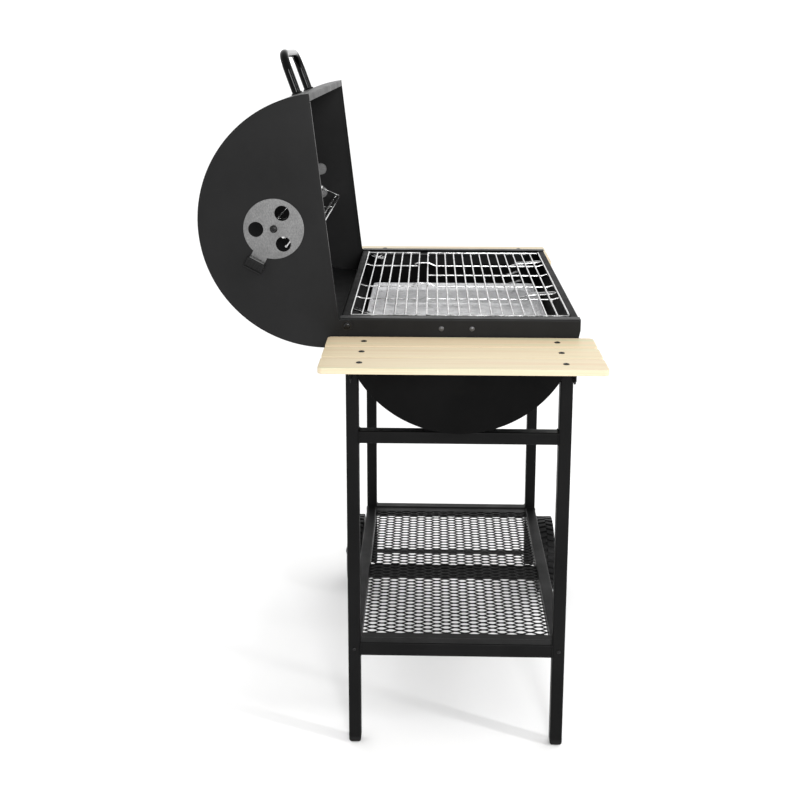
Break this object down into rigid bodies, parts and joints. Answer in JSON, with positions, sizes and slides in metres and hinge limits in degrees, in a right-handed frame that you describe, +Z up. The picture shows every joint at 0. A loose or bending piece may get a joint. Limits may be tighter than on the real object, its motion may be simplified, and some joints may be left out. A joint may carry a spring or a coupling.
{
  "type": "barrel charcoal grill",
  "caption": "Barrel charcoal grill on a wheeled tube stand: hinged half-round lid, wooden side shelves, mesh lower shelf.",
  "frame": {"origin": "on the ground, under the middle of the whole grill's bounding box with the lid open", "axes": "+X along the barrel towards the wheels, +Y towards the back where the lid opens, +Z up"},
  "size_m": [1.03, 0.6758, 1.2383],
  "materials": {
    "body_black": "satin, finely pebbled heat-proof paint",
    "frame_black": "satin powder coat",
    "handle_black": "glossy black enamel",
    "plastic_black": "fine moulded grain",
    "bolt_black": "black oxide, semi-gloss",
    "damper_steel": "brushed along the vent slide",
    "bright_steel": "bright zinc plated",
    "chrome_wire": "bright chrome plated wire",
    "tray_zinc": "galvanised, faint spangle and specks",
    "pine": "planed pale pine, satin"
  },
  "bodies": {
    "stand": {"bowl_shell": "body_black", "bowl_end_left": "body_black", "bowl_end_right": "body_black", "rim_band_left": "body_black", "rim_band_right": "body_black", "grate_support_left": "body_black", "grate_support_right": "body_black", "leg_left_front": "frame_black", "leg_left_back": "frame_black", "leg_right_front": "frame_black", "leg_right_back": "frame_black", "cross_rail_left": "frame_black", "cross_rail_right": "frame_black", "shelf_rail_left": "frame_black", "shelf_rail_right": "frame_black", "shelf_rail_front": "frame_black", "shelf_rail_back": "frame_black", "shelf_rail_middle": "frame_black", "mesh_shelf": "frame_black", "shelf_arm_left_front": "frame_black", "shelf_arm_left_back": "frame_black", "shelf_arm_right_front": "frame_black", "shelf_arm_right_back": "frame_black", "foot_cap_front": "plastic_black", "foot_cap_back": "plastic_black", "hinge_bolt_left": "bolt_black", "hinge_bolt_right": "bolt_black", "axle": "bolt_black", "axle_cap_front": "bolt_black", "axle_cap_back": "bolt_black", "plank_left_1": "pine", "plank_left_2": "pine", "plank_left_3": "pine", "plank_right_1": "pine", "plank_right_2": "pine", "plank_right_3": "pine"},
    "lid": {"lid_shell": "body_black", "lid_end_left": "body_black", "lid_end_right": "body_black", "lid_handle": "handle_black", "damper_bolt_left": "bolt_black", "damper_bolt_right": "bolt_black", "rack_pin_left": "bright_steel", "rack_pin_right": "bright_steel"},
    "damper_left": {"damper_left": "damper_steel", "damper_grip_left": "plastic_black"},
    "damper_right": {"damper_right": "damper_steel", "damper_grip_right": "plastic_black"},
    "warming_rack": {"warming_rack": "chrome_wire"},
    "cooking_grate_front": {"cooking_grate_front": "chrome_wire"},
    "cooking_grate_back": {"cooking_grate_back": "chrome_wire"},
    "charcoal_tray": {"charcoal_tray": "tray_zinc"},
    "wheel_front": {"wheel_front": "plastic_black"},
    "wheel_back": {"wheel_back": "plastic_black"}
  },
  "joints": [
    {"name": "lid_hinge", "type": "hinge", "parent": "stand", "child": "lid", "pos_m": [0, 0.09406, 0.788], "axis": [1, 0, 0], "range_deg": [0, 96.6]},
    {"name": "rack_swing", "type": "hinge", "parent": "lid", "child": "warming_rack", "pos_m": [0, 0.19756, 0.937], "axis": [1, 0, 0], "range_deg": [-96.6, 0]},
    {"name": "damper_left_turn", "type": "hinge", "parent": "lid", "child": "damper_left", "pos_m": [-0.3285, 0.21251, 0.95046], "axis": [1, 0, 0], "range_deg": [0, 60]},
    {"name": "damper_right_turn", "type": "hinge", "parent": "lid", "child": "damper_right", "pos_m": [0.3285, 0.21251, 0.95046], "axis": [1, 0, 0], "range_deg": [0, 60]},
    {"name": "cooking_grate_front_lift", "type": "slide", "parent": "stand", "child": "cooking_grate_front", "axis": [0, 0, 1], "range_m": [0, 0.035]},
    {"name": "cooking_grate_back_lift", "type": "slide", "parent": "stand", "child": "cooking_grate_back", "axis": [0, 0, 1], "range_m": [0, 0.035]},
    {"name": "charcoal_tray_lift", "type": "slide", "parent": "stand", "child": "charcoal_tray", "axis": [0, 0, 1], "range_m": [0, 0.06]},
    {"name": "wheel_front_spin", "type": "hinge", "parent": "stand", "child": "wheel_front", "pos_m": [0.3, -0.31244, 0.084], "axis": [0, 1, 0], "continuous": true},
    {"name": "wheel_back_spin", "type": "hinge", "parent": "stand", "child": "wheel_back", "pos_m": [0.3, 0.12356, 0.084], "axis": [0, 1, 0], "continuous": true}
  ],
  "couplings": [
    {"joint": "rack_swing", "follows": "lid_hinge", "ratio": -1}
  ]
}
